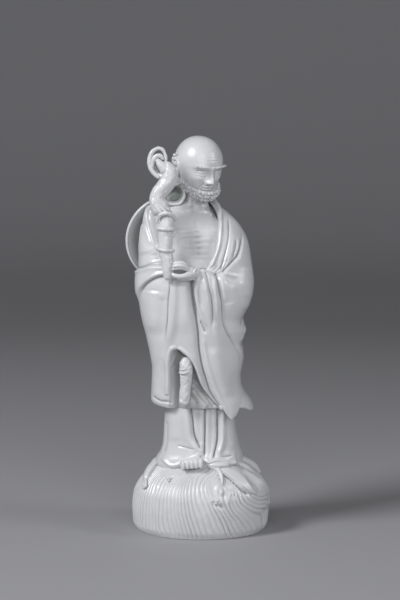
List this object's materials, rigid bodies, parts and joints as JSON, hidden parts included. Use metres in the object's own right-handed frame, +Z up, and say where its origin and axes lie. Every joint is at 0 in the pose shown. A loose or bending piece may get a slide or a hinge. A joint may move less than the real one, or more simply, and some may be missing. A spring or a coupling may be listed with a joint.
{
  "type": "porcelain figure",
  "caption": "White porcelain figure of a bald, bearded old sage in an open robe, holding a gnarled staff, with a round hat on the back, standing on a mound of combed waves.",
  "frame": {"origin": "centre of the flat underside of the wave mound", "axes": "+Z up through the standing figure, -Y the way the front of the robe faces, +X to the viewer's right"},
  "size_m": [0.1575, 0.1362, 0.422],
  "materials": {
    "white_glaze": "glossy clear glaze over a milk-white body, greyer where it pools in the folds, matt and bare on the underside"
  },
  "bodies": {
    "root": {"figure": "white_glaze"}
  },
  "joints": []
}
